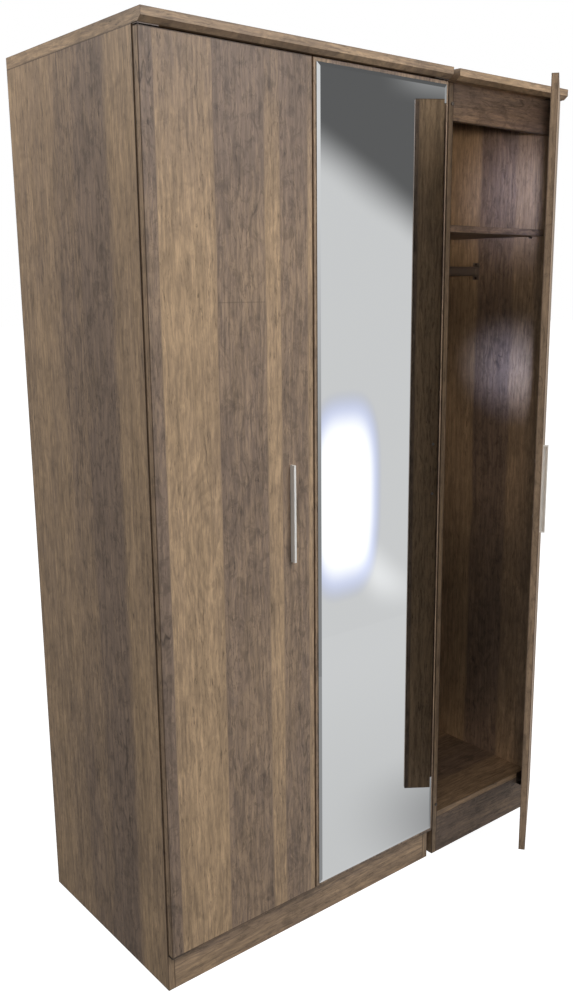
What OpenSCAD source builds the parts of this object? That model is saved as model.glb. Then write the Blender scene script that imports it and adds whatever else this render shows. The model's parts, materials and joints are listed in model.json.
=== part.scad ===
// Three-door wardrobe made of two separate carcasses that stand side by side:
// a two-door unit on the left (plain door and mirror door) and a one-door unit
// on the right, whose door is drawn part-way open. Millimetres, +Z up, front
// towards -Y. The origin is on the floor, on the centre plane of the whole
// width, in the middle plane of the front plinths.

/* [Whole wardrobe] */
// Height from the floor to the top of the top boards
total_h = 1970; // [1900:5:2050]
// Outside width of the left unit
left_w = 796; // [760:2:820]
// Outside width of the right unit
right_w = 398; // [380:2:420]
// Free space between the two units
unit_gap = 20; // [16:1:26]
// Depth of the side panels
carcass_d = 532; // [500:2:580]

/* [Boards] */
// Thickness of the carcass and door boards
board_t = 16; // [15:0.5:18]
// Thickness of the top boards
top_t = 24; // [22:1:28]
// How far the top boards reach past the side panels at the front
top_overhang = 33; // [28:1:40]
// Height of the bevel under the front edge of the top boards
bevel_h = 8.5; // [6:0.5:10]
// Depth of the bevel under the front edge of the top boards
bevel_d = 11; // [8:0.5:14]
// Thickness of the back panels
back_t = 4; // [3:0.5:5]

/* [Inside] */
// Height of the plinths under the base boards
plinth_h = 102; // [90:1:110]
// Height of the front top rails
rail_board_h = 82; // [70:1:90]
// Height of the upper face of the shelves
shelf_top_z = 1632; // [1560:1:1680]
// Setback of the shelf front edges from the carcass front
shelf_setback = 12; // [8:1:20]
// Height of the centre of the hanging rails
hang_z = 1528; // [1480:1:1560]
// Depth of the hanging rails behind the carcass front
hang_depth = 238; // [220:1:280]

/* [Doors] */
// Width of the plain door and of the mirror door
pair_door_w = 395; // [380:1:396]
// Width of the right door
right_door_w = 383; // [370:1:386]
// Height of the lower door edges above the floor
door_bottom_z = 88.5; // [84:0.5:96]
// Height of the upper door edges above the floor
door_top_z = 1941.5; // [1930:0.5:1943]
// Gap between the closed doors and the carcass
door_gap = 2.5; // [2.5:0.1:3]
// Opening angle of the right door as drawn
rest_angle = 36.5; // [30:0.5:45]

/* [Mirror] */
// Wooden margin left around the mirror
mirror_margin = 7.5; // [6:0.5:12]
// Thickness of the mirror glass
mirror_t = 3; // [3:0.5:4]
// Width of the polished bevel round the mirror
mirror_bevel = 8; // [6:0.5:12]

/* [Handles] */
// Overall length of the handles
handle_l = 214; // [190:1:230]
// Width of the handles across the door
handle_w = 6; // [6:0.5:10]
// How far the handles stand out from the door
handle_reach = 13; // [12:0.5:20]
// Height of the middle of the handles above the floor
handle_z = 1013; // [980:1:1060]
// Distance from the door's free edge to the middle of the handle
handle_inset = 61.5; // [50:0.5:90]

/* [Hidden] */
$fn = 48;
eps = 0.02;
drill = 0.05;          // radial play of fasteners in their holes
pivot_play = 0.05;     // radial running fit of the pivot pins

total_w = left_w + unit_gap + right_w;
left_x = -total_w / 2;
right_x = total_w / 2 - right_w;
front_y = -board_t / 2;
carcass_h = total_h - top_t;
base_z = plinth_h;
door_h = door_top_z - door_bottom_z;
shelf_z = shelf_top_z - board_t;
pair_reveal = (left_w / 2 - pair_door_w) / 2;
right_reveal = 7;

// Back panels and the grooves that hold them
back_inset = 12;
groove_d = 6;
groove_play = 0.2;
groove_floor_play = 1;
back_y = front_y + carcass_d - back_inset - back_t;
back_top_play = 1;
inside_d = carcass_d - back_inset - back_t;

// Dowels and cam fittings of the carcass joints
dowel_r = 4;
dowel_l = 30;
dowel_in_side = 10;
cam_r = 7.5;
cam_d = 12;
cam_back = 34;
cam_bolt_r = 3.5;
cam_bolt_in = 10;
joint_ys = [60, 470];
dowel_ys = [110, 420];
rail_dowel_z = carcass_h - 24;

// Shelf supports and the play round the shelves
shelf_play = 0.5;
shelf_rear_play = 1;
pin_r = 2.5;
pin_in = 9;
pin_out = 10;
pin_ys = [50, 470];

// Hanging rails: oval tube in open sockets
tube_h = 25;
tube_w = 15;
tube_wall = 1.2;
socket_l = 12;
socket_wall = 2.5;
socket_plate = 2;
socket_plate_h = 46;
socket_plate_w = 22;
socket_screw_r = 1.75;
socket_screw_z = 19;
socket_screw_l = 12;
socket_head_r = 3;

// Spacers and bolts between the two units
spacer_r = 12;
bolt_r = 3;
bolt_head_r = 7;
bolt_head_h = 2.5;
link_points = [[60, 320], [60, 1740], [440, 320], [440, 1740]];

// Door bumpers on the carcass edges
bumper_r = 4;
bumper_h = 2;
bumper_zs = [140, 1900];
bumper_off = 40;        // from the middle of the left unit
bumper_top = 20;        // below the top board
bumper_low = 6;         // below the base boards

// Pivot hinges at the top and bottom edges of the doors, in the frame of a
// left-hung door: x runs inwards from the outer face of the side panel, y = 0 is
// the carcass front
pivot_edge = 6;         // door edge to the pivot axis
pivot_r = 2;
pivot_in = 14;          // length of the pins inside the doors
bush_r = 3.4;
bush_l = 16;
plate_t = 2;
plate_l = 43;
plate_d = 18;
bracket_d = 16.5;
plate_out = 6;          // from the pivot axis towards the outer side
bracket_gap = 2;        // door to the bottom brackets
leaf_t = 1.5;
leaf_l = 26;
leaf_top = 14;          // above the underside of the base boards
washer_r = 4.2;
washer_play = 0.3;
pivot_screw_r = 1.75;
pivot_screw_l = 14;
pivot_head_r = 3.2;
pivot_head_h = 1.2;
pivot_screw_at = [22, 33];  // from the pivot axis
screw_head_r = 3.5;
screw_head_h = 1.5;

// Handles: channels that open towards the free edge and are closed at both ends
foot_t = 3;             // flange against the door
lip_t = 3;              // flange at the front
web_t = 1.6;            // wall on the hinge side
cap_t = 4;              // end walls
handle_screw_r = 1.5;
handle_screw_end = 40;  // from the screws to the ends of the handle
screw_tip = 0.5;        // from the screw tips to the inside of the channel
edge_cut = 0.8;         // small bevel along the door and handle edges

// Mirror and the adhesive pads behind it
mirror_w = pair_door_w - 2 * mirror_margin;
mirror_h = door_h - 2 * mirror_margin;
mirror_z = door_bottom_z + mirror_margin;
mirror_land = 1;        // square edge left under the bevel
pad_t = 1;
pad_w = 30;
pad_inset = 20;
pad_places = [0.12, 0.37, 0.63, 0.88];

// Colours
oak = [0.56, 0.47, 0.38];
oak_dark = [0.42, 0.35, 0.28];
oak_light = [0.66, 0.57, 0.46];
steel = [0.72, 0.72, 0.70];
nickel = [0.80, 0.79, 0.76];
dark_metal = [0.25, 0.24, 0.23];
glass_grey = [0.78, 0.80, 0.81];
plastic_brown = [0.30, 0.25, 0.21];
beech = [0.80, 0.66, 0.47];

// A cylinder along X, Y or Z that starts at a point
module rod_x(r, l) { rotate([0, 90, 0]) cylinder(r = r, h = l); }
module rod_z(r, l) { cylinder(r = r, h = l); }

// A board given by its corner and its size
module board(corner, size) { translate(corner) cube(size); }

// ---- Carcass, in a unit frame: x from the unit's left face, y from the
// carcass front, z from the floor ----

module at_unit(x0) { translate([x0, front_y, 0]) children(); }
module at_both_sides(w) {
    children();
    far_side(w) children();
}

// Cam fitting that pulls a base board to a side panel
module base_cam(play = 0) {
    translate([cam_back, 0, base_z - eps]) rod_z(cam_r + play, cam_d + eps + play);
    translate([board_t - cam_bolt_in - play, 0, base_z + board_t / 2])
        rod_x(cam_bolt_r + play, cam_back - board_t + cam_bolt_in);
}

// Cam fitting that pulls a top board down on a side panel
module top_cam(play = 0) {
    translate([board_t + eps - cam_d - play, 0, carcass_h - cam_back])
        rod_x(cam_r + play, cam_d + play);
    translate([board_t / 2, 0, carcass_h - cam_back])
        rod_z(cam_bolt_r + play, cam_back + cam_bolt_in + play);
}

// All the cams and dowels at one side panel
module side_cams(play = 0) {
    for (y = joint_ys) {
        translate([0, y, 0]) base_cam(play);
        translate([0, y, 0]) top_cam(play);
    }
}
module side_dowels(play = 0) {
    x = board_t - dowel_in_side - play;
    l = dowel_l + 2 * play;
    for (y = dowel_ys)
        translate([x, y, base_z + board_t / 2]) rod_x(dowel_r + play, l);
    for (y = [board_t / 2, inside_d - board_t / 2])
        translate([x, y, base_z / 2]) rod_x(dowel_r + play, l);
    translate([x, board_t / 2, rail_dowel_z]) rod_x(dowel_r + play, l);
}
module side_pins(play = 0) {
    for (y = pin_ys)
        translate([board_t - pin_in - play, y, shelf_z - pin_r])
            rod_x(pin_r + play, pin_in + pin_out + play);
}

module socket_screws(play = 0) {
    for (s = [-1, 1])
        translate([board_t + socket_plate, hang_depth, hang_z + s * socket_screw_z]) {
            translate([-socket_screw_l - play, 0, 0])
                rod_x(socket_screw_r + play, socket_screw_l + play);
            rod_x(socket_head_r, screw_head_h);
        }
}

// Side panel with the outer face at x = 0; joined panels are bolted to the
// neighbouring unit
module side_panel(joined) {
    difference() {
        board([0, 0, 0], [board_t, carcass_d, carcass_h]);
        board([board_t - groove_d, inside_d - groove_play / 2, base_z - back_top_play],
              [groove_d + eps, back_t + groove_play, carcass_h]);
        side_cams(drill);
        side_dowels(drill);
        side_pins(drill);
        socket_screws(drill);
        if (joined)
            for (p = link_points)
                translate([-eps, p[0], p[1]]) rod_x(bolt_r + drill, board_t + 1);
    }
}
module far_side(w) { translate([w, 0, 0]) mirror([1, 0, 0]) children(); }

module base_board(w) {
    difference() {
        board([board_t, 0, base_z], [w - 2 * board_t, inside_d, board_t]);
        at_both_sides(w) { side_cams(drill); side_dowels(drill); }
        children();
    }
}
module plinth_board(w, y) {
    difference() {
        board([board_t, y, 0], [w - 2 * board_t, board_t, base_z]);
        at_both_sides(w) side_dowels(drill);
    }
}
module top_rail(w) {
    difference() {
        board([board_t, 0, carcass_h - rail_board_h],
              [w - 2 * board_t, board_t, rail_board_h]);
        at_both_sides(w) side_dowels(drill);
    }
}
module shelf(w) {
    board([board_t + shelf_play, shelf_setback, shelf_z],
          [w - 2 * board_t - 2 * shelf_play, inside_d - shelf_setback - shelf_rear_play,
           board_t]);
}
module back_panel(w) {
    reach = groove_d - groove_floor_play;
    board([board_t - reach, inside_d, base_z],
          [w - 2 * board_t + 2 * reach, back_t, carcass_h - base_z - back_top_play]);
}
module top_board(w) {
    outline = [[-top_overhang, bevel_h], [-top_overhang + bevel_d, 0],
               [carcass_d, 0], [carcass_d, top_t], [-top_overhang, top_t]];
    difference() {
        translate([0, 0, carcass_h]) rotate([90, 0, 90])
            linear_extrude(height = w) polygon(outline);
        at_both_sides(w) side_cams(drill);
        children();
    }
}

// Oval outline of the hanging rail, upright, grown by d
module oval(d) {
    straight = tube_h - tube_w;
    translate([0, -straight / 2]) circle(r = tube_w / 2 + d);
    translate([0, straight / 2]) circle(r = tube_w / 2 + d);
    translate([-tube_w / 2 - d, -straight / 2])
        square([tube_w + 2 * d, straight]);
}
module along_x(x, l) {
    translate([x, hang_depth, hang_z]) rotate([90, 0, 90])
        linear_extrude(height = l) children();
}
module hanging_rail(w) {
    x = board_t + socket_plate;
    difference() {
        along_x(x, w - 2 * x) oval(0);
        along_x(x - 1, w - 2 * x + 2) oval(-tube_wall);
    }
}
module rail_sockets(w) {
    at_both_sides(w) difference() {
        union() {
            along_x(board_t, socket_plate) square([socket_plate_w, socket_plate_h], center = true);
            along_x(board_t, socket_l) oval(socket_wall);
        }
        socket_screws(drill);
        along_x(board_t + socket_plate, socket_l) oval(pivot_play);
        along_x(board_t + socket_plate, socket_l)
            translate([-tube_w / 2 - pivot_play, 0])
                square([tube_w + 2 * pivot_play, tube_h]);
    }
}

// ---- Hardware that joins the two units ----

module between_units() { translate([left_x + left_w, front_y, 0]) children(); }
module spacers() {
    between_units() for (p = link_points)
        translate([0, p[0], p[1]]) difference() {
            rod_x(spacer_r, unit_gap);
            translate([-1, 0, 0]) rod_x(bolt_r + drill, unit_gap + 2);
        }
}
module joining_bolts() {
    reach = unit_gap + 2 * board_t;
    between_units() for (p = link_points) translate([-board_t, p[0], p[1]]) {
        rod_x(bolt_r, reach);
        translate([-bolt_head_h, 0, 0]) rod_x(bolt_head_r, bolt_head_h);
        translate([reach, 0, 0]) rod_x(bolt_head_r, bolt_head_h);
    }
}
module bumper(x, z) {
    translate([x, front_y, z]) rotate([90, 0, 0]) cylinder(r = bumper_r, h = bumper_h);
}
module bumpers() {
    middle = left_x + left_w / 2;
    for (x = [middle - bumper_off, middle + bumper_off],
         z = [carcass_h - bumper_top, base_z - bumper_low]) bumper(x, z);
    for (z = bumper_zs) bumper(right_x + board_t - bumper_r, z);
}
module for_units() {
    at_unit(left_x) at_both_sides(left_w) children();
    at_unit(right_x) at_both_sides(right_w) children();
}

// ---- Doors and pivots, in the frame of a left-hung door ----

function pivot(reveal) = [reveal + pivot_edge, -door_gap - board_t / 2];

// Frame of a side panel: dir 1 for a left-hung door, -1 for a right-hung one
module hung(x, dir) { translate([x, front_y, 0]) mirror([dir < 0 ? 1 : 0, 0, 0]) children(); }

module door_motion(reveal, a) {
    p = pivot(reveal);
    translate([p[0], p[1], 0]) rotate([0, 0, -a]) translate([-p[0], -p[1], 0]) children();
}
module into_door(r, l) { rotate([90, 0, 0]) cylinder(r = r, h = l); }

// Board of a door with a small bevel round its front edges
module door_board(reveal, w) {
    c = edge_cut;
    outline = [[0, 0], [0, -board_t + c], [c, -board_t], [w - c, -board_t],
               [w, -board_t + c], [w, 0]];
    difference() {
        translate([reveal, -door_gap, door_bottom_z])
            linear_extrude(height = door_h) polygon(outline);
        bush_places(reveal) rod_z(bush_r + drill, bush_l + drill + eps);
    }
}

// The two bushes of a door, each drawn upwards from the place where it starts
module bush_places(reveal) {
    p = pivot(reveal);
    translate([p[0], p[1], door_bottom_z - eps]) children();
    translate([p[0], p[1], door_top_z - bush_l - drill]) children();
}
module pivot_bushes(reveal) {
    p = pivot(reveal);
    for (z = [door_bottom_z, door_top_z - bush_l]) translate([p[0], p[1], z]) difference() {
        rod_z(bush_r, bush_l);
        translate([0, 0, -1]) rod_z(pivot_r + pivot_play, bush_l + 2);
    }
}
module pivot_pins(reveal) {
    p = pivot(reveal);
    low = door_bottom_z - bracket_gap - plate_t;
    translate([p[0], p[1], low]) rod_z(pivot_r, plate_t + bracket_gap + pivot_in);
    translate([p[0], p[1], door_top_z - pivot_in])
        rod_z(pivot_r, carcass_h - door_top_z + pivot_in);
}
module pivot_washers(reveal) {
    p = pivot(reveal);
    translate([p[0], p[1], door_bottom_z - bracket_gap]) difference() {
        rod_z(washer_r, bracket_gap - washer_play);
        translate([0, 0, -1]) rod_z(pivot_r + eps, bracket_gap + 2);
    }
}
// Screws of one pivot: up into the top board, back into the base board
module pivot_screws(reveal, play = 0) {
    p = pivot(reveal);
    for (x = pivot_screw_at) {
        translate([p[0] + x, p[1], carcass_h - plate_t]) {
            rod_z(pivot_screw_r + play, pivot_screw_l + play);
            rod_z(pivot_head_r + play, pivot_head_h + play);
        }
        translate([p[0] + x, -leaf_t, base_z + board_t / 2]) rotate([-90, 0, 0]) {
            rod_z(pivot_screw_r + play, pivot_screw_l + play);
            rod_z(pivot_head_r + play, pivot_head_h + play);
        }
    }
}
module top_plates(reveal) {
    p = pivot(reveal);
    difference() {
        board([p[0] - plate_out, p[1] - plate_d / 2, carcass_h - plate_t],
              [plate_l, plate_d, plate_t]);
        translate([p[0], p[1], carcass_h - plate_t - 1]) rod_z(pivot_r + eps, plate_t + 2);
        translate([0, 0, -eps]) pivot_screws(reveal, drill);
    }
}
module bottom_brackets(reveal) {
    p = pivot(reveal);
    low = door_bottom_z - bracket_gap - plate_t;
    x = p[0] - plate_out + plate_l - leaf_l;
    difference() {
        union() {
            board([p[0] - plate_out, -bracket_d, low], [plate_l, bracket_d, plate_t]);
            board([x, -leaf_t, low], [leaf_l, leaf_t, base_z + leaf_top - low]);
        }
        translate([p[0], p[1], low - 1]) rod_z(pivot_r + eps, plate_t + 2);
        translate([0, -eps, 0]) pivot_screws(reveal, drill);
    }
}

// ---- Handles, mirror ----

module handle_points(reveal, w) {
    x = reveal + w - handle_inset;
    half = handle_l / 2 - handle_screw_end;
    for (s = [-1, 1])
        translate([x, -door_gap - board_t, handle_z + s * half]) children();
}
module handle(reveal, w) {
    x = reveal + w - handle_inset;
    c = edge_cut;
    h = handle_w / 2;
    r = handle_reach;
    outline = [[-h, 0], [-h, -r + c], [-h + c, -r], [h - c, -r], [h, -r + c], [h, 0]];
    difference() {
        translate([x, -door_gap - board_t, handle_z - handle_l / 2]) difference() {
            linear_extrude(height = handle_l) polygon(outline);
            translate([-h + web_t, -r + lip_t, cap_t])
                cube([handle_w, r - lip_t - foot_t, handle_l - 2 * cap_t]);
        }
        handle_points(reveal, w) translate([0, 1, 0])
            into_door(handle_screw_r + drill, foot_t + 2);
    }
}
module handle_screws(reveal, w) {
    handle_points(reveal, w) translate([0, board_t, 0]) {
        into_door(handle_screw_r, board_t + foot_t - screw_tip);
        translate([0, screw_head_h, 0]) into_door(screw_head_r, screw_head_h);
    }
}
module door_with_handle(reveal, w) {
    difference() {
        door_board(reveal, w);
        handle_points(reveal, w) translate([0, board_t + 1, 0])
            into_door(handle_screw_r + drill, board_t + 2);
    }
}

// Glass sheet with polished bevels on its four front edges: two crossed
// extrusions meet in mitred corners
module mirror_sheet(reveal) {
    b = mirror_bevel;
    across = [[0, 0], [0, -mirror_land], [b, -mirror_t], [mirror_w - b, -mirror_t],
              [mirror_w, -mirror_land], [mirror_w, 0]];
    up = [[0, 0], [-mirror_land, 0], [-mirror_t, b], [-mirror_t, mirror_h - b],
          [-mirror_land, mirror_h], [0, mirror_h]];
    translate([reveal + mirror_margin, -door_gap - board_t - pad_t, mirror_z])
        intersection() {
            linear_extrude(height = mirror_h) polygon(across);
            rotate([90, 0, 90]) linear_extrude(height = mirror_w) polygon(up);
        }
}
module mirror_tapes(reveal) {
    x = reveal + mirror_margin + pad_inset;
    for (k = pad_places)
        translate([x, -door_gap - board_t - pad_t, mirror_z + k * mirror_h - pad_w / 2])
            cube([mirror_w - 2 * pad_inset, pad_t, pad_w]);
}

// ---- Places of the three doors ----

module plain_side() { hung(left_x, 1) children(); }
module mirror_side() { hung(left_x + left_w, -1) children(); }
module right_side() { hung(right_x + right_w, -1) children(); }
module right_moving() { right_side() door_motion(right_reveal, rest_angle) children(); }
module all_pivots() {
    plain_side() children(0);
    mirror_side() children(0);
    right_side() children(1);
}
// Screw holes of the pivots in the frame of the left or of the right unit
module left_pivot_holes() {
    pivot_screws(pair_reveal, drill);
    far_side(left_w) pivot_screws(pair_reveal, drill);
}
module right_pivot_holes() { far_side(right_w) pivot_screws(right_reveal, drill); }

// ---- Left unit ----
color(oak) at_unit(left_x) side_panel(joined = false);  // left_unit_side_left
color(oak) at_unit(left_x) far_side(left_w) side_panel(joined = true);  // left_unit_side_right
color(oak_dark) at_unit(left_x) base_board(left_w) left_pivot_holes();  // left_unit_base
color(oak_dark) at_unit(left_x) plinth_board(left_w, 0);  // left_unit_plinth
color(oak_dark) at_unit(left_x) plinth_board(left_w, inside_d - board_t);  // left_unit_rear_plinth
color(oak_dark) at_unit(left_x) top_rail(left_w);  // left_unit_top_rail
color(oak_dark) at_unit(left_x) shelf(left_w);  // left_unit_shelf
color(oak_dark) at_unit(left_x) back_panel(left_w);  // left_unit_back_panel
color(oak_light) at_unit(left_x) top_board(left_w) left_pivot_holes();  // left_unit_top_board
color(dark_metal) at_unit(left_x) hanging_rail(left_w);  // left_unit_hanging_rail
color(dark_metal) at_unit(left_x) rail_sockets(left_w);  // left_unit_rail_sockets

// ---- Right unit ----
color(oak) at_unit(right_x) side_panel(joined = true);  // right_unit_side_left
color(oak) at_unit(right_x) far_side(right_w) side_panel(joined = false);  // right_unit_side_right
color(oak_dark) at_unit(right_x) base_board(right_w) right_pivot_holes();  // right_unit_base
color(oak_dark) at_unit(right_x) plinth_board(right_w, 0);  // right_unit_plinth
color(oak_dark) at_unit(right_x) plinth_board(right_w, inside_d - board_t);  // right_unit_rear_plinth
color(oak_dark) at_unit(right_x) top_rail(right_w);  // right_unit_top_rail
color(oak_dark) at_unit(right_x) shelf(right_w);  // right_unit_shelf
color(oak_dark) at_unit(right_x) back_panel(right_w);  // right_unit_back_panel
color(oak_light) at_unit(right_x) top_board(right_w) right_pivot_holes();  // right_unit_top_board
color(dark_metal) at_unit(right_x) hanging_rail(right_w);  // right_unit_hanging_rail
color(dark_metal) at_unit(right_x) rail_sockets(right_w);  // right_unit_rail_sockets

// ---- Fasteners and small parts of the carcasses ----
color(plastic_brown) spacers();  // unit_spacers
color(steel) joining_bolts();  // unit_joining_bolts
color(steel) for_units() side_cams();  // cam_fittings
color(beech) for_units() side_dowels();  // dowels
color(steel) for_units() side_pins();  // shelf_pins
color(steel) for_units() socket_screws();  // rail_socket_screws
color(plastic_brown) bumpers();  // door_bumpers
color(dark_metal) all_pivots() { top_plates(pair_reveal); top_plates(right_reveal); }  // pivot_top_plates
color(dark_metal) all_pivots() { bottom_brackets(pair_reveal); bottom_brackets(right_reveal); }  // pivot_bottom_brackets
color(steel) all_pivots() { pivot_pins(pair_reveal); pivot_pins(right_reveal); }
color(plastic_brown) all_pivots() { pivot_washers(pair_reveal); pivot_washers(right_reveal); }
color(dark_metal) all_pivots() { pivot_screws(pair_reveal); pivot_screws(right_reveal); }

// ---- Plain door ----
color(oak) plain_side() door_with_handle(pair_reveal, pair_door_w);  // plain_door
color(steel) plain_side() pivot_bushes(pair_reveal);  // plain_door_pivot_bushes
color(nickel) plain_side() handle(pair_reveal, pair_door_w);  // plain_door_handle
color(steel) plain_side() handle_screws(pair_reveal, pair_door_w);  // plain_door_handle_screws

// ---- Mirror door ----
color(oak) mirror_side() door_board(pair_reveal, pair_door_w);  // mirror_door
color(glass_grey) mirror_side() mirror_sheet(pair_reveal);  // mirror_glass
color(plastic_brown) mirror_side() mirror_tapes(pair_reveal);  // mirror_pads
color(steel) mirror_side() pivot_bushes(pair_reveal);  // mirror_door_pivot_bushes

// ---- Right door ----
color(oak) right_moving() door_with_handle(right_reveal, right_door_w);  // right_door
color(steel) right_moving() pivot_bushes(right_reveal);  // right_door_pivot_bushes
color(nickel) right_moving() handle(right_reveal, right_door_w);  // right_door_handle
color(steel) right_moving() handle_screws(right_reveal, right_door_w);  // right_door_handle_screws
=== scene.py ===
"""Looks of a three-door wardrobe in rustic oak effect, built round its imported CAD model."""
import json
import math

import bpy
from mathutils import Matrix, Vector


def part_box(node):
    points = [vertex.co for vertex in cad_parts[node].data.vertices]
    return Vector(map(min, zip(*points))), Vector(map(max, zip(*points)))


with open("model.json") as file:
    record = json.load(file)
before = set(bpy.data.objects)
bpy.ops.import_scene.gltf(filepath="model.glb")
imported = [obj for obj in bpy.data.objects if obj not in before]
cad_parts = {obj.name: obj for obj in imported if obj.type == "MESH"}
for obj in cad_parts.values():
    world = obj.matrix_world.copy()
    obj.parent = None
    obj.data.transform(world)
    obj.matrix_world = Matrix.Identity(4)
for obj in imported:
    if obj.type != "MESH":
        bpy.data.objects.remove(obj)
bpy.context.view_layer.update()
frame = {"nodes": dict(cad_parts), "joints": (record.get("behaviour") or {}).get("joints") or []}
NODES = frame["nodes"]
JOINTS = {j["name"]: j for j in frame["joints"]}
scene = bpy.context.scene

# ---------------------------------------------------------------- helpers


class Net:
    """A node tree that is built by short calls."""

    def __init__(self, name):
        self.mat = bpy.data.materials.new(name)
        self.mat.use_nodes = True
        self.tree = self.mat.node_tree
        self.tree.nodes.clear()

    def node(self, kind, **values):
        made = self.tree.nodes.new("ShaderNode" + kind)
        for key, value in values.items():
            setattr(made, key, value)
        return made

    def put(self, socket, value):
        if value is None:
            return
        if isinstance(value, bpy.types.NodeSocket):
            self.tree.links.new(value, socket)
        else:
            socket.default_value = value

    def math(self, op, a, b=None, c=None, clamp=False):
        made = self.node("Math", operation=op, use_clamp=clamp)
        for socket, value in zip(made.inputs, (a, b, c)):
            self.put(socket, value)
        return made.outputs[0]

    def mul(self, a, b):
        return self.math("MULTIPLY", a, b)

    def sub(self, a, b):
        return self.math("SUBTRACT", a, b)

    def size(self, a):
        return self.math("ABSOLUTE", a)

    def larger(self, a, b):
        return self.math("MAXIMUM", a, b)

    def smaller(self, a, b):
        return self.math("MINIMUM", a, b)

    def scaled(self, a, factor, offset):
        """a times factor plus offset."""
        return self.math("MULTIPLY_ADD", a, factor, offset)

    def add(self, a, b):
        return self.math("ADD", a, b)

    def blend(self, factor, a, b):
        """The number a where factor is 0 and b where it is 1."""
        return self.math("MULTIPLY_ADD", factor, self.sub(b, a), a)

    def distance(self, a, b):
        return self.math("SQRT", self.add(self.mul(a, a), self.mul(b, b)))

    def dot(self, vector, weights):
        made = self.node("VectorMath", operation="DOT_PRODUCT")
        self.put(made.inputs[0], vector)
        made.inputs[1].default_value = weights
        return made.outputs["Value"]

    def vec(self, x, y, z):
        made = self.node("CombineXYZ")
        for socket, value in zip(made.inputs, (x, y, z)):
            self.put(socket, value)
        return made.outputs[0]

    def noise(self, vector, detail=3.0, rough=0.55, distort=0.0, scale=1.0):
        made = self.node("TexNoise")
        self.put(made.inputs["Vector"], vector)
        made.inputs["Scale"].default_value = scale
        made.inputs["Detail"].default_value = detail
        made.inputs["Roughness"].default_value = rough
        made.inputs["Distortion"].default_value = distort
        return made.outputs[0]

    def span(self, value, a, b, lo=0.0, hi=1.0, smooth=True):
        made = self.node("MapRange", interpolation_type="SMOOTHSTEP" if smooth else "LINEAR")
        for socket, v in zip(made.inputs, (value, a, b, lo, hi)):
            self.put(socket, v)
        return made.outputs[0]

    def ramp(self, value, stops):
        made = self.node("ValToRGB")
        self.put(made.inputs[0], value)
        elements = made.color_ramp.elements
        while len(elements) < len(stops):
            elements.new(0.5)
        for element, (place, grey) in zip(elements, stops):
            element.position = place
            element.color = (grey, grey, grey, 1)
        return made.outputs[0]

    def mix(self, factor, a, b, blend="MIX"):
        made = self.node("Mix", data_type="RGBA", blend_type=blend)
        for socket, value in zip((made.inputs[0], made.inputs[6], made.inputs[7]), (factor, a, b)):
            if isinstance(value, tuple) and len(value) == 3:
                value = (*value, 1)
            self.put(socket, value)
        return made.outputs[2]

    def grey(self, value):
        return self.vec(value, value, value)

    def surface(self, color, **sockets):
        shader = self.node("BsdfPrincipled")
        self.put(shader.inputs["Base Color"], (*color, 1) if isinstance(color, tuple) else color)
        for key, value in sockets.items():
            self.put(shader.inputs[key.replace("_", " ")], value)
        self.put(self.node("OutputMaterial").inputs["Surface"], shader.outputs[0])
        return self.mat

    def bump(self, height, strength, distance):
        made = self.node("Bump")
        made.inputs["Strength"].default_value = strength
        made.inputs["Distance"].default_value = distance
        self.put(made.inputs["Height"], height)
        return made.outputs[0]

    def place(self):
        return self.node("TexCoord").outputs["Object"]

    def normal(self):
        return self.node("TexCoord").outputs["Normal"]

    def axes(self, vector):
        made = self.node("SeparateXYZ")
        self.put(made.inputs[0], vector)
        return list(made.outputs)


def dress(name, mat):
    """Gives a CAD node one material."""
    mesh = NODES[name].data
    mesh.materials.clear()
    mesh.materials.append(mat)


# ---------------------------------------------------------------- oak foil

TAN = (0.504, 0.344, 0.204)
GREY = (0.258, 0.183, 0.136)
# the next colour is the painted shade along each arris
ARRIS_SHADE = (0.065, 0.040, 0.025)
EDGE = (0.400, 0.270, 0.165)

# Printed layers: cycles per metre across and along the grain, number of the layer's own
# noise, and the noise's detail, roughness and distortion.
SWAY = (26, 9, 14, 4, 0.60, 0.0)
DRIFT = (14, 4, 1, 5, 0.65, 0.0)
PATCHES = (9, 2.4, 2, 4, 0.60, 0.4)
BEND = (8, 1.3, 5, 3, 0.50, 0.0)
BROAD = (62, 2.6, 9, 4, 0.66, 0.5)
STREAKS = (190, 17, 3, 4, 0.68, 0.6)
LINES = (520, 30, 4, 2, 0.60, 0.0)
BLOTCH = (44, 26, 10, 5, 0.70, 0.8)
CLUSTER = (17, 3.6, 7, 3, 0.60, 0.0)
PORES = (300, 34, 6, 3, 0.62, 0.5)
RIDGE = (15, 2.4, 11, 3, 0.50, 0.0)
SPLIT = (9, 3.4, 12, 2, 0.50, 0.0)
MOTTLE = (30, 8, 21, 4, 0.62, 0.5)

SWAY_WIDTH = 0.018                  # how far the fine grain swings, m
RINGS_PER_METRE = 62
RING_BEND = 7.0                     # rings that the slow bend moves them by
KNOT_SHORTENING = 0.42              # a knot's width over its length
KNOT_REACH = 5                      # in knot sizes
KNOT_SWING = 240                    # rings per metre of knot size
FACING = (0.6, 0.7)                 # how squarely a face must look along an axis
TOP_SHADE = (0.36, 0.02)            # below the upper end: where the painted shade begins and is full, m
ARRIS = (0.0009, 0.0024)            # where the painted arris shade begins to fade and ends, m
BUTT = (0.0004, 0.0016)             # the same for a butt joint in the print

# How much each part of the print darkens; a pair is a factor and an offset.
RING_DEPTH = 0.13
KNOT_DEPTH = 0.16
BUTT_DEPTH = 0.26
SPLIT_DEPTH = 0.5
PORE_DEPTH = (0.36, 0.14)
BLOTCH_DEPTH = (0.22, 0.10)


def joint_stops(planks, half):
    """Ramp stops of a plank pattern whose joints are 2 * half wide."""
    stops = [(0.0, planks[0][1])]
    for (_, before), (at, after) in zip(planks, planks[1:]):
        stops += [(at - half, before), (at + half, after)]
    return stops


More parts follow.
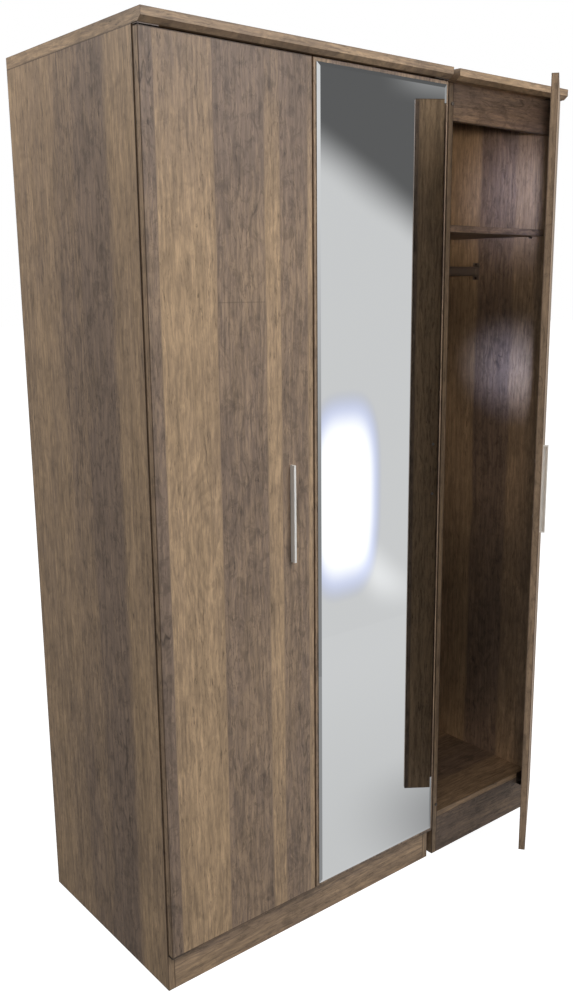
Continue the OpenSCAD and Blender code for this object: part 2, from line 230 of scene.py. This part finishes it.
def oak(name, lo, hi, across, along, planks, joint, seed, turn=None, knots=(), butts=(),
        ends=None, calm=1.0, arris=0.35, edges=None, top_shade=0.0):
    """Rustic oak foil on one board.

    lo and hi are the board's corners in its own frame, and turn is the matrix into that
    frame. across and along are weights that make the distances across and along the grain.
    planks is a list of (share of the width, greyness) that the printed planks start at, and
    joint is half a joint's softness and how far it strays. knots are (across, along, size)
    and butts (first share, last share, along) of the printed figure. ends are the weights
    across and along the grain of the edging on the two ends of a lying board. calm scales
    the fine figure, arris is the strength of the painted shade along each arris, edges is the
    width axis of a board whose two long edges carry a lighter band, and the last argument is
    how much greyer and darker an upright board's print is at its upper end, as painted shade.
    """
    net = Net("oak_" + name)
    mul, add, sub, span, scaled = net.mul, net.add, net.sub, net.span, net.scaled
    softness, wander = joint
    place = net.place()
    if turn is not None:
        mapping = net.node("Mapping", vector_type="POINT")
        mapping.inputs["Location"].default_value = turn.to_translation()
        mapping.inputs["Rotation"].default_value = turn.to_euler()
        net.put(mapping.inputs["Vector"], place)
        place = mapping.outputs[0]
    u, v = net.dot(place, across), net.dot(place, along)
    if ends is not None:
        is_end = span(net.size(net.dot(net.normal(), along)), *FACING)
        u = net.blend(is_end, u, net.dot(place, ends[0]))
        v = net.blend(is_end, v, net.dot(place, ends[1]))
    phase = seed * 3.17

    def flow(layer):
        """Noise that runs on across the whole board."""
        fu, fv, number, detail, rough, distort = layer
        where = net.vec(mul(u, fu), mul(v, fv), phase + number)
        return net.noise(where, detail, rough, distort)

    # planks with slightly wandering joints
    start = sum(w * c for w, c in zip(across, lo))
    width = max(w * (b - a) for w, a, b in zip(across, lo, hi))
    wavy = scaled(sub(flow(SWAY), 0.5), SWAY_WIDTH, u)
    shifted = scaled(sub(flow(DRIFT), 0.5), wander * 4, u)
    share = net.math("DIVIDE", sub(shifted, start), width)
    plank = net.ramp(share, joint_stops(planks, softness / width))

    def grain(layer):
        """Noise that jumps from plank to plank, as each print starts anew."""
        fu, fv, number, detail, rough, distort = layer
        where = net.vec(mul(wavy, fu), mul(v, fv), scaled(plank, 9.0, phase + number))
        return net.noise(where, detail, rough, distort)

    greyness = net.math("MULTIPLY_ADD", sub(flow(PATCHES), 0.5), 1.0, plank, clamp=True)
    # painted shade: the print turns greyer and darker towards an upright board's upper end
    if top_shade:
        upper = span(v, hi[2] - TOP_SHADE[0], hi[2] - TOP_SHADE[1], 0.0, top_shade)
        greyness = net.math("ADD", greyness, upper, clamp=True)

    # growth rings that swing round the knots
    bend = mul(grain(BEND), RING_BEND)
    pit = None
    for knot_u, knot_v, size in knots:
        far = net.distance(sub(u, knot_u), mul(sub(v, knot_v), KNOT_SHORTENING))
        bend = add(bend, mul(span(far, 0.0, size * KNOT_REACH, 1.0, 0.0), size * KNOT_SWING))
        eye = span(far, size * 0.25, size, 1.0, 0.0)
        pit = eye if pit is None else net.larger(pit, eye)
    rings = net.math("SINE", mul(add(mul(u, RINGS_PER_METRE), bend), 2 * math.pi))
    rings = span(rings, 0.1, 1.0)

    # light print: streaks, slow bands and fine lines, calmer on grey planks, then blotches
    streaks, lines = grain(STREAKS), grain(LINES)
    light = span(streaks, 0.28, 0.72, 0.74, 1.26, smooth=False)
    light = mul(light, span(grain(BROAD), 0.3, 0.7, 0.80, 1.18, smooth=False))
    light = mul(light, span(lines, 0.25, 0.75, 0.90, 1.10, smooth=False))
    light = net.math("MULTIPLY_ADD", sub(light, 1.0), net.blend(greyness, calm, calm * 0.62), 1.0)
    light = mul(light, span(flow(MOTTLE), 0.32, 0.68, 0.86, 1.12, smooth=False))
    blotches = mul(span(grain(BLOTCH), 0.46, 0.64), scaled(greyness, *BLOTCH_DEPTH))
    light = mul(light, sub(1.0, blotches))
    light = mul(light, sub(1.0, mul(rings, RING_DEPTH)))

    # dark print: pores in clusters, splits, knots and butt joints
    pores = span(grain(PORES), 0.55, 0.68)
    dark = mul(pores, scaled(span(flow(CLUSTER), 0.40, 0.62), *PORE_DEPTH))
    ridge = net.size(sub(grain(RIDGE), 0.5))
    split = mul(span(ridge, 0.0, 0.009, 1.0, 0.0), span(flow(SPLIT), 0.50, 0.62))
    dark = net.larger(dark, mul(split, mul(greyness, SPLIT_DEPTH)))
    if pit is not None:
        dark = net.larger(dark, mul(pit, KNOT_DEPTH))
    for first, last, at in butts:
        inside = mul(span(share, first, first + 0.01), span(share, last - 0.01, last, 1.0, 0.0))
        line = span(net.size(sub(v, at)), *BUTT, 1.0, 0.0)
        dark = net.larger(dark, mul(mul(inside, line), BUTT_DEPTH))
    light = mul(light, sub(1.0, dark))

    chill = scaled(span(streaks, 0.35, 0.65), -0.34, 0.17)
    color = net.mix(net.math("ADD", greyness, chill, clamp=True), TAN, GREY)
    if edges is not None:
        facing = net.size(net.dot(net.normal(), edges))
        color = net.mix(mul(span(facing, *FACING), 0.8), color, EDGE)
    color = net.mix(1.0, color, net.grey(light), "MULTIPLY")

    # painted shade along each arris, a dark line: the second smallest distance to the board's
    # faces
    x, y, z = [net.smaller(sub(at, low), sub(high, at))
               for at, low, high in zip(net.axes(place), lo, hi)]
    second = net.larger(net.smaller(x, y), net.smaller(net.larger(x, y), z))
    color = net.mix(span(second, *ARRIS, arris, 0.0), color, ARRIS_SHADE)

    height = sub(scaled(streaks, 0.6, mul(lines, 0.4)), dark)
    return net.surface(color, Roughness=scaled(streaks, 0.16, 0.40), Specular_IOR_Level=0.34,
                       Normal=net.bump(height, 0.25, 0.0005))


def box_of(node):
    lo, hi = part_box(node)
    return tuple(lo), tuple(hi)


X, Y, Z = (1, 0, 0), (0, 1, 0), (0, 0, 1)
UPRIGHT_WIDTH = (1, 1, 0)           # an upright board is wide along X or along Y
LYING_WIDTH = (0, 1, 1)             # a lying board is wide along Y or along Z

DOOR_PLANKS = [(0, 0.92), (0.07, 0.08), (0.39, 0.78), (0.69, 0.22), (0.785, 0.80), (0.965, 0.2)]
FRAME_PLANKS = [(0, 0.55), (0.12, 0.95), (0.60, 0.70)]
SIDE_PLANKS = [(0, 0.34), (0.20, 1.0), (0.44, 0.72), (0.62, 0.48), (0.80, 0.34)]
INNER_PLANKS = [(0, 0.45), (0.20, 0.95), (0.44, 0.05), (0.80, 0.35)]
DEEP_PLANKS = [(0, 0.3), (0.25, 0.8), (0.6, 0.2)]
NARROW_PLANKS = [(0, 0.45), (0.5, 0.6)]
# the next planks are near grey: painted shade for the boards behind the open door
PAINTED_SHADE_PLANKS = [(0, 0.9), (0.5, 1.0)]

# half a joint's softness and how far it strays, m
DOOR_JOINT = (0.0015, 0.0015)
SIDE_JOINT = (0.012, 0.010)
INNER_JOINT = (0.005, 0.008)
BACK_JOINT = (0.004, 0.006)
LYING_JOINT = (0.006, 0.006)

# upright boards: planks, joint, seed and the rest of the look
plain_lo, plain_hi = box_of("plain_door")
KNOT = (plain_lo[0] + plain_lo[1] + 0.094, plain_hi[2] - 0.95, 0.016)
BUTT_JOINT = (0.39, 0.69, plain_hi[2] - 0.48)
# the plain door's print is painted greyer and darker at its upper end: painted shade
PLAIN_DOOR = {"calm": 0.88, "arris": 0.75, "edges": X, "knots": (KNOT,),
              "butts": (BUTT_JOINT,), "top_shade": 0.45}
MIRROR_DOOR = {"calm": 0.88, "arris": 0.4, "edges": X}
PANEL = {"calm": 0.72, "arris": 0.75}
UPRIGHTS = {
    "plain_door": (DOOR_PLANKS, DOOR_JOINT, 1, PLAIN_DOOR),
    "mirror_door": (FRAME_PLANKS, DOOR_JOINT, 6, MIRROR_DOOR),
    "left_unit_side_left": (SIDE_PLANKS, SIDE_JOINT, 2, PANEL),
    "left_unit_side_right": (SIDE_PLANKS, SIDE_JOINT, 3, PANEL),
    "right_unit_side_left": (SIDE_PLANKS, SIDE_JOINT, 4, PANEL),
    "right_unit_side_right": (INNER_PLANKS, INNER_JOINT, 5, PANEL),
    "left_unit_back_panel": (SIDE_PLANKS, BACK_JOINT, 7, PANEL),
    "right_unit_back_panel": (SIDE_PLANKS, BACK_JOINT, 8, PANEL),
}
for name, (planks, joint, seed, look) in UPRIGHTS.items():
    lo, hi = box_of(name)
    dress(name, oak(name, lo, hi, UPRIGHT_WIDTH, Z, planks, joint, seed, **look))

# lying boards: the grain runs along X
LYING_PARTS = ("base", "shelf", "plinth", "rear_plinth", "top_rail", "top_board")
# painted shade: the right unit's shelf, plinth and top rail, behind the open door, get near-grey
# planks
PAINTED_SHADE_BOARDS = ("right_unit_shelf", "right_unit_plinth", "right_unit_top_rail")
DEEP_FROM = 0.1                     # depth that counts as deep, m
for unit, first_seed in (("left_unit_", 20), ("right_unit_", 40)):
    for seed, part in enumerate(LYING_PARTS, first_seed):
        name = unit + part
        lo, hi = box_of(name)
        planks = DEEP_PLANKS if hi[1] - lo[1] > DEEP_FROM else NARROW_PLANKS
        if name in PAINTED_SHADE_BOARDS:
            planks = PAINTED_SHADE_PLANKS
        dress(name, oak(name, lo, hi, LYING_WIDTH, X, planks, LYING_JOINT, seed, ends=(Z, Y)))

# the open door: its board lies in a turned frame
swing = JOINTS["right_door_swing"]
to_door = Matrix.Rotation(math.radians(swing["range_deg"][0]), 4, "Z")
corners = [to_door @ v.co for v in NODES["right_door"].data.vertices]
open_lo = tuple(min(c[i] for c in corners) for i in range(3))
open_hi = tuple(max(c[i] for c in corners) for i in range(3))
dress("right_door", oak("right_door", open_lo, open_hi, UPRIGHT_WIDTH, Z, DOOR_PLANKS, DOOR_JOINT,
                        9, turn=to_door, arris=0.6, edges=tuple(to_door.inverted() @ Vector(X))))

# ---------------------------------------------------------------- mirror


def mirror():
    """Silver with a trace of haze and a faintly uneven tint."""
    net = Net("mirror_silver")
    place = net.place()
    rough = net.span(net.noise(place, 3, 0.5, scale=40), 0.5, 0.9, 0.0, 0.02)
    tint = net.mix(net.noise(place, 2, 0.5, scale=3), (0.610, 0.622, 0.625), (0.600, 0.612, 0.620))
    return net.surface(tint, Metallic=1.0, Roughness=rough)


dress("mirror_glass", mirror())

# ---------------------------------------------------------------- metal and plastic

BRUSHING = 2400                     # brush lines per metre across them
SMUDGES = 35                        # smudges per metre


def metal(name, color, rough, stretch, seed=0.0, metallic=1.0):
    """Satin metal with fine brushing along Z and smudges.

    stretch is how many brush lines follow one another on a metre along Z.
    """
    net = Net(name)
    x, y, z = net.axes(net.place())
    where = net.vec(net.mul(x, BRUSHING), net.mul(y, BRUSHING), net.scaled(z, stretch, seed))
    brush = net.noise(where, 4, 0.6)
    smudge = net.noise(net.place(), 4, 0.6, scale=SMUDGES)
    tone = net.span(brush, 0.3, 0.7, 0.90, 1.06, smooth=False)
    color = net.mix(1.0, color, net.grey(tone), "MULTIPLY")
    satin = net.add(net.scaled(brush, 0.12, rough - 0.06), net.mul(smudge, 0.08))
    return net.surface(color, Metallic=metallic, Roughness=satin,
                       Normal=net.bump(brush, 0.15, 0.0001))


def grained(name, color, rough, scale, depth):
    """Moulded plastic, foam or plain wood with a fine surface."""
    net = Net(name)
    place = net.place()
    fine = net.noise(place, 5, 0.6, scale=scale)
    broad = net.noise(place, 3, 0.5, scale=14)
    tone = net.mul(net.span(fine, 0.3, 0.7, 0.88, 1.1), net.span(broad, 0.3, 0.7, 0.92, 1.08))
    return net.surface(net.mix(1.0, color, net.grey(tone), "MULTIPLY"),
                       Roughness=net.scaled(fine, 0.2, rough - 0.1),
                       Normal=net.bump(fine, 0.25, depth))


nickel = metal("satin_nickel", (0.94, 0.92, 0.88), rough=0.42, stretch=30, metallic=0.12)
plated = metal("plated_steel", (0.66, 0.66, 0.66), rough=0.26, stretch=900, seed=5)
rail_paint = metal("rail_bronze", (0.16, 0.13, 0.11), rough=0.38, stretch=300, seed=9)
rail_tube = metal("rail_tube", (0.27, 0.225, 0.19), rough=0.40, stretch=300, seed=11, metallic=0.6)
plastic = grained("brown_plastic", (0.09, 0.07, 0.055), rough=0.5, scale=900, depth=0.0002)
foam = grained("grey_foam", (0.16, 0.16, 0.17), rough=0.85, scale=700, depth=0.0004)
beech = grained("beech", (0.62, 0.46, 0.29), rough=0.6, scale=500, depth=0.0003)

PAINTED = ("pivot_top", "pivot_bottom", "pivot_screws", "rail_socket_screws", "shelf_pins")
PLATED = ("pivot", "screws", "bolts", "cam_")

for name in NODES:
    if name.endswith("_handle"):
        dress(name, nickel)
    elif name.endswith(("hanging_rail", "rail_sockets")):
        dress(name, rail_tube)
    elif any(k in name for k in PAINTED):
        dress(name, rail_paint)
    elif name in ("door_bumpers", "unit_spacers", "pivot_washers"):
        dress(name, plastic)
    elif name == "mirror_pads":
        dress(name, foam)
    elif name == "dowels":
        dress(name, beech)
    elif any(k in name for k in PLATED):
        dress(name, plated)

# ---------------------------------------------------------------- camera

# fitted to the photo
LENS = 36.2261                      # mm, on a sensor 36 mm wide
SHIFT = (-0.04699, -0.00188)
EYE = (-1.5693, -1.6742, 1.5050)
DIP, TURN = 12.143, 40.679          # degrees below level, and from +Y towards +X

cam_data = bpy.data.cameras.new("camera")
cam_data.sensor_width = 36.0
cam_data.lens = LENS
cam_data.shift_x, cam_data.shift_y = SHIFT
cam = bpy.data.objects.new("camera", cam_data)
scene.collection.objects.link(cam)
cam.location = EYE
cam.rotation_euler = (math.radians(90 - DIP), 0, math.radians(-TURN))
scene.camera = cam

# ---------------------------------------------------------------- world

scene.view_settings.view_transform = "Standard"

world = bpy.data.worlds.new("studio")
scene.world = world
world.use_nodes = True

DOME_AXIS = (0.30, -0.10, 0.90)     # the dome brightens along this
DOME_SPAN = (-0.7, 0.7, 0.16, 0.56)  # from and to along the axis, and the strengths there


def studio():
    """White to look at; a softer dome to light with, dim below and towards the left."""
    tree = world.node_tree
    tree.nodes.clear()
    link = tree.links.new
    made = {k: tree.nodes.new("ShaderNode" + k) for k in (
        "TexCoord", "VectorMath", "MapRange", "LightPath", "MixShader", "OutputWorld")}
    dome = tree.nodes.new("ShaderNodeBackground")
    white = tree.nodes.new("ShaderNodeBackground")
    made["VectorMath"].operation = "DOT_PRODUCT"
    made["VectorMath"].inputs[1].default_value = DOME_AXIS
    for socket, value in zip(made["MapRange"].inputs[1:5], DOME_SPAN):
        socket.default_value = value
    for background in (dome, white):
        background.inputs[0].default_value = (1, 1, 1, 1)
    link(made["TexCoord"].outputs["Generated"], made["VectorMath"].inputs[0])
    link(made["VectorMath"].outputs["Value"], made["MapRange"].inputs[0])
    link(made["MapRange"].outputs[0], dome.inputs[1])
    link(made["LightPath"].outputs["Is Camera Ray"], made["MixShader"].inputs[0])
    link(dome.outputs[0], made["MixShader"].inputs[1])
    link(white.outputs[0], made["MixShader"].inputs[2])
    link(made["MixShader"].outputs[0], made["OutputWorld"].inputs[0])


studio()

# ---------------------------------------------------------------- floor and cards

WHITE = (1.0, 1.0, 1.0)


def plane(name, centre, ex, ey, mat):
    """A staged rectangle; ex and ey are its half sides."""
    mesh = bpy.data.meshes.new(name)
    c, ex, ey = Vector(centre), Vector(ex), Vector(ey)
    mesh.from_pydata([c - ex - ey, c + ex - ey, c + ex + ey, c - ex + ey], [], [(0, 1, 2, 3)])
    obj = bpy.data.objects.new(name, mesh)
    scene.collection.objects.link(obj)
    mesh.materials.append(mat)
    return obj


def floor_mat():
    net = Net("floor_white")
    tone = net.span(net.noise(net.place(), 3, 0.5, scale=2), 0.3, 0.7, 0.97, 1.0)
    return net.surface(net.mix(1.0, (0.4, 0.4, 0.4), net.grey(tone), "MULTIPLY"), Roughness=0.9,
                       Emission_Color=(1, 1, 1, 1), Emission_Strength=0.93)


floor = plane("floor", (0, 0, -0.0005), (30, 0, 0), (0, 30, 0), floor_mat())
floor.visible_diffuse = False
floor.visible_glossy = False


def glow(net, level, color=WHITE):
    shader = net.node("Emission")
    net.put(shader.inputs[0], (*color, 1) if isinstance(color, tuple) else color)
    net.put(shader.inputs[1], level)
    net.put(net.node("OutputMaterial").inputs[0], shader.outputs[0])
    return net.mat


LAMP_CENTRE = (1.172, 0.60)         # of the bright lamp, x and z
LAMP_HALF = (0.186, 0.40)
LAMP_BLUE = (0.72, 0.77, 1.0)


def upper_card():
    """What the mirror sees ahead: dark above a slanting soft edge, a lamp lower down."""
    net = Net("upper_card")
    mul, add, sub, span = net.mul, net.add, net.sub, net.span
    x, _, z = net.axes(net.place())
    edge = net.scaled(net.noise(net.place(), 2, 0.5, scale=1.6), 0.10, 2.46)
    level = span(sub(net.scaled(x, 0.50, z), edge), -0.11, 0.13, 0.95, 0.165)

    # the left end is what the mirror's left bevel sees
    level = net.blend(span(x, 0.6, 0.95, 1.0, 0.0), level, span(z, 0.5, 2.1, 0.35, 1.05))

    # the lamp, a rounded patch with a blue rim, and the slanting beam beside it
    across = net.size(mul(sub(x, LAMP_CENTRE[0]), 1 / LAMP_HALF[0]))
    up = net.size(mul(sub(z, LAMP_CENTRE[1]), 1 / LAMP_HALF[1]))
    far = add(net.math("POWER", up, 3.0), net.math("POWER", across, 3.2))
    blob = span(far, 0.10, 1.45, 0.9, 0.0)
    rim = mul(span(far, 0.30, 0.85), span(far, 0.85, 1.60, 1.0, 0.0))
    beam = span(net.size(sub(net.scaled(x, 0.93, z), 1.48)), 0.0, 0.20, 0.34, 0.0)
    beam = mul(beam, mul(span(x, 1.2, 1.38), span(z, 0.0, 0.24)))

    # a bluish sheen high on the left, and a paler patch high on the right
    sheen = mul(span(x, 0.18, 0.28), span(x, 0.62, 0.95, 1.0, 0.0))
    sheen = mul(span(z, 1.80, 2.45), sheen)
    level = net.scaled(sheen, 4.6, level)
    level = add(level, mul(span(z, 2.21, 2.36, 0.0, 0.34), span(x, 1.34, 1.62)))

    blue = net.larger(mul(rim, 0.85), sheen)
    return glow(net, add(add(level, blob), beam), net.mix(blue, WHITE, LAMP_BLUE))


def lower_card():
    """The floor that the mirror sees, with the shade under the open door."""
    net = Net("lower_card")
    x, y, _ = net.axes(net.place())
    near = net.distance(net.add(x, -0.50), net.add(y, 0.02))
    shade = net.span(near, 0.04, 0.52, 0.34, 1.0)
    fade = net.span(y, -1.3, -0.1, 0.97, 0.88)
    seen_by_bevel = net.scaled(y, 0.65, net.add(x, 0.20))
    fade = net.mul(fade, net.span(seen_by_bevel, -0.05, 0.0, 0.45, 1.0))
    return glow(net, net.mul(shade, fade))


def plain_card(name, level):
    net = Net(name)
    uneven = net.noise(net.place(), 2, 0.5, scale=1.2)
    return glow(net, net.span(uneven, 0.3, 0.7, level * 0.94, level))


# four cards that only reflections see
CARD_Y = -1.5                       # where the standing cards stand
CARD_HALF = 1.25                    # half the height of the two that reach the floor
high = plane("high_card", (2.6, CARD_Y, 3.6), (1.9, 0, 0), (0, 0, 1.1),
             plain_card("high_card", 0.16))
right = plane("right_card", (3.0, CARD_Y, CARD_HALF), (1.05, 0, 0), (0, 0, CARD_HALF),
              plain_card("right_card", 0.22))
upper = plane("upper_card", (0.825, CARD_Y, CARD_HALF), (1.125, 0, 0), (0, 0, CARD_HALF),
              upper_card())
lower = plane("lower_card", (0.6, -0.78, 0.0), (1.4, 0, 0), (0, 0.72, 0), lower_card())
for card in (upper, lower, high, right):
    card.visible_camera = False
    card.visible_diffuse = False
    card.visible_shadow = False
    card.visible_transmission = False

# ---------------------------------------------------------------- lights


def lamp(name, kind, place, aim, watts, color):
    """A light that points from place to aim."""
    data = bpy.data.lights.new(name, kind)
    data.energy = watts
    data.color = color
    obj = bpy.data.objects.new(name, data)
    obj.location = place
    obj.rotation_euler = (Vector(aim) - Vector(place)).to_track_quat("-Z", "Y").to_euler()
    scene.collection.objects.link(obj)
    return obj


def area(name, place, aim, size, watts):
    obj = lamp(name, "AREA", place, aim, watts, WHITE)
    obj.data.shape = "RECTANGLE"
    obj.data.size, obj.data.size_y = size
    return obj


def group(name, parts):
    """A collection of the right unit's parts, for light linking."""
    made = bpy.data.collections.new(name)
    for part in parts:
        made.objects.link(NODES["right_unit_" + part])
    return made


# the key light leaves out the right unit's front members, which are dark in the photo
key = area("key", (0.95, -2.7, 3.6), (-0.2, 0, 1.1), size=(2.0, 1.6), watts=75)
behind_door = group("behind_open_door",
                    ("side_left", "top_rail", "shelf", "base", "plinth", "hanging_rail"))
for member in behind_door.collection_objects:
    member.light_linking.link_state = "EXCLUDE"
key.light_linking.receiver_collection = behind_door
area("rear_fill", (-1.9, 1.1, 2.9), (-0.6, 0.25, 1.7), size=(1.0, 1.0), watts=21)

inside = group("inside_of_right_unit",
               ("side_right", "back_panel", "shelf", "base", "top_rail", "hanging_rail",
                "rail_sockets"))

SPOT_STAND = (-1.62, -1.85)         # where the spots stand, x and y
WARM, COOL = (1.0, 0.85, 0.72), (0.48, 0.60, 1.0)


def spot(name, height, aim, cone, watts, color, radius):
    """A spot at a height on the stand that lights only the inside of the right unit."""
    obj = lamp(name, "SPOT", (*SPOT_STAND, height), aim, watts, color)
    obj.data.spot_size = math.radians(cone)
    obj.data.spot_blend = 1.0
    obj.data.shadow_soft_size = radius
    obj.light_linking.receiver_collection = inside


SPOTS = (                           # height, height aimed at, cone in degrees, watts
    (1.62, 1.76, 13, 140),
    (1.00, 1.12, 15, 42),
    (0.65, 0.84, 12, 12),
    (0.30, 0.22, 13, 5),
    (1.50, 0.02, 9, 60),
)
for k, (height, target, cone, watts) in enumerate(SPOTS):
    spot("inside_%d" % k, height, (0.585, 0.16, target), cone, watts, WARM, radius=0.12)
spot("bloom_0", 1.62, (0.585, 0.055, 1.72), 6.5, 430, COOL, radius=0.08)
spot("bloom_1", 1.20, (0.585, 0.085, 1.265), 3.9, 900, COOL, radius=0.08)
